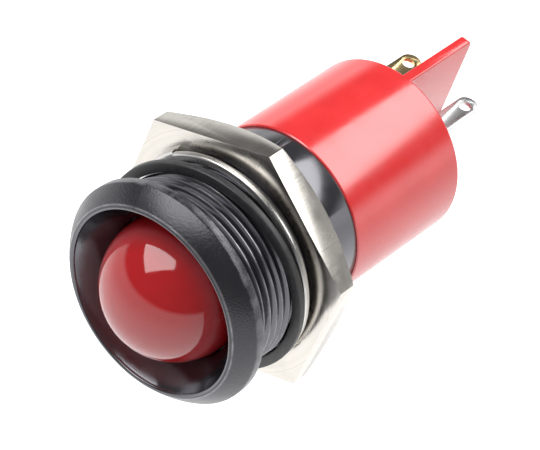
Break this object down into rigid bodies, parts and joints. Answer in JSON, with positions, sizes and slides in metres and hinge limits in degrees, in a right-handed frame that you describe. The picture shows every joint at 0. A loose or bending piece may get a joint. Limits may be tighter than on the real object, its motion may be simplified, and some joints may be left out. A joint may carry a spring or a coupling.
{
  "type": "panel pilot light",
  "caption": "Round panel indicator with a red domed lens in a black threaded bezel, hex nut, spring washer, gasket and a red rear body with two solder tabs split by a fin.",
  "frame": {"origin": "centre of the flange's rear face, which seats on the panel", "axes": "+Y along the barrel, from the lens towards the tabs; +Z along the barrier fin"},
  "size_m": [0.0284, 0.0531, 0.031],
  "materials": {
    "black_plated_metal": "satin black plating",
    "red_lens": "glossy translucent red",
    "seal_rubber": "matte",
    "white_plastic": "matte",
    "board_white": "white solder mask",
    "led_package": "glossy",
    "pin_gold": "gold plated",
    "board_green": "green solder mask",
    "component_black": "matte",
    "capacitor_sleeve": "blue sleeve",
    "resin": "cured epoxy",
    "red_moulding": "glossy moulded red",
    "gold_plate": "gold plated",
    "tin_plate": "tin plated brass",
    "gasket_rubber": "matte black rubber",
    "washer_plate": "bright plated spring steel",
    "nut_nickel": "nickel plated brass"
  },
  "bodies": {
    "root": {"bezel_housing": "black_plated_metal", "lens": "red_lens", "lens_seal": "seal_rubber", "led_spacer": "white_plastic", "led_board": "board_white", "led_chip_1": "led_package", "led_chip_2": "led_package", "led_chip_3": "led_package", "led_chip_4": "led_package", "led_chip_5": "led_package", "led_chip_6": "led_package", "led_chip_7": "led_package", "link_pin_1": "pin_gold", "link_pin_2": "pin_gold", "driver_board": "board_green", "resistor_1": "component_black", "resistor_2": "component_black", "protection_diode": "component_black", "current_regulator": "component_black", "smoothing_capacitor": "capacitor_sleeve", "rear_body": "red_moulding", "sealing_resin": "resin", "terminal_positive": "gold_plate", "terminal_negative": "tin_plate"},
    "gasket": {"gasket": "gasket_rubber"},
    "spring_washer": {"spring_washer": "washer_plate"},
    "hex_nut": {"hex_nut": "nut_nickel"}
  },
  "joints": [
    {"name": "gasket_slide", "type": "slide", "parent": "root", "child": "gasket", "axis": [0, 1, 0], "range_m": [-0.0036, 0]},
    {"name": "washer_slide", "type": "slide", "parent": "root", "child": "spring_washer", "axis": [0, 1, 0], "range_m": [-0.0001, 0.0038]},
    {"name": "nut_turn", "type": "hinge", "parent": "spring_washer", "child": "hex_nut", "pos_m": [0, 0.01027, 0], "axis": [0, 1, 0], "range_deg": [-36.1, 1368.1]}
  ],
  "couplings": [
    {"joint": "nut_turn", "follows": "washer_slide", "rad_per_m": 6283.2}
  ]
}
